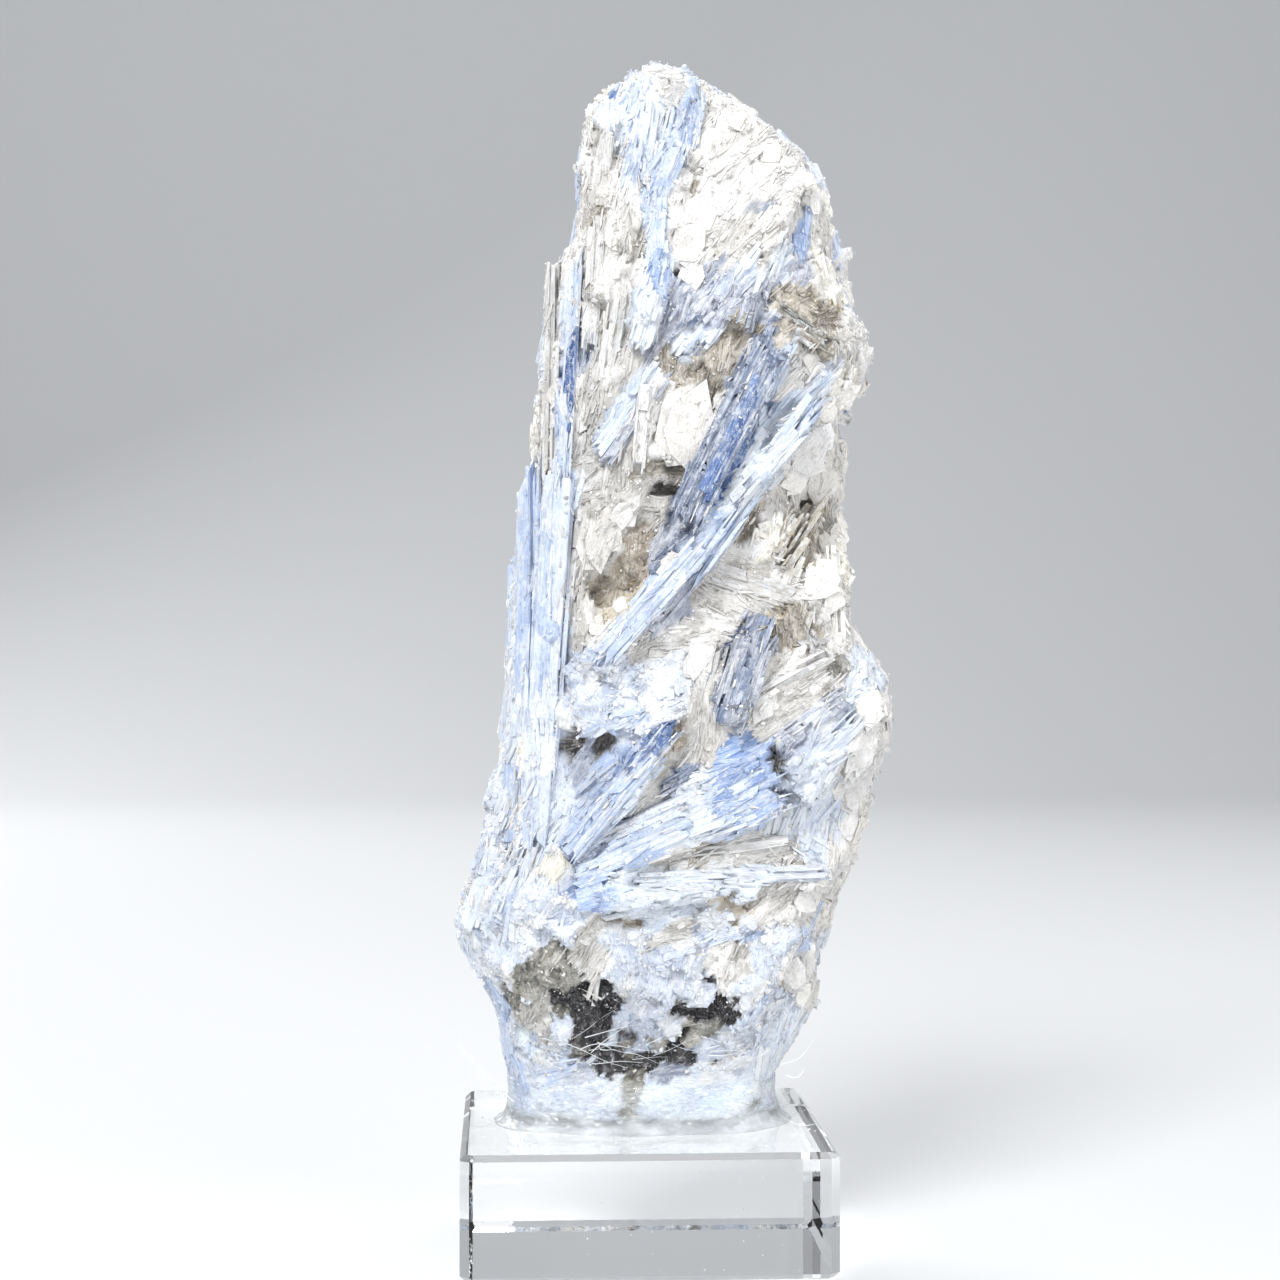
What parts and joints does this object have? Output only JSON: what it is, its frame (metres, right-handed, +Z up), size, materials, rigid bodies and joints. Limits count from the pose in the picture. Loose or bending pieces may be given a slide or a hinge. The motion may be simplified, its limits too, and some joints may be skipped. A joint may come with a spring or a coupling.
{
  "type": "mineral specimen",
  "caption": "Kyanite blades in mica schist, standing on end in clear glue on a square clear acrylic display block.",
  "frame": {"origin": "centre of the display block's underside, where it rests on the table", "axes": "+Z up along the standing stone, +X to the right and +Y to the back when the front of the stone is viewed"},
  "size_m": [0.0462, 0.0382, 0.1252],
  "materials": {
    "kyanite_schist": "satin",
    "clear_glue": "gloss",
    "clear_acrylic": "polished"
  },
  "bodies": {
    "root": {"kyanite_specimen": "kyanite_schist", "mounting_glue": "clear_glue", "acrylic_base": "clear_acrylic"}
  },
  "joints": []
}
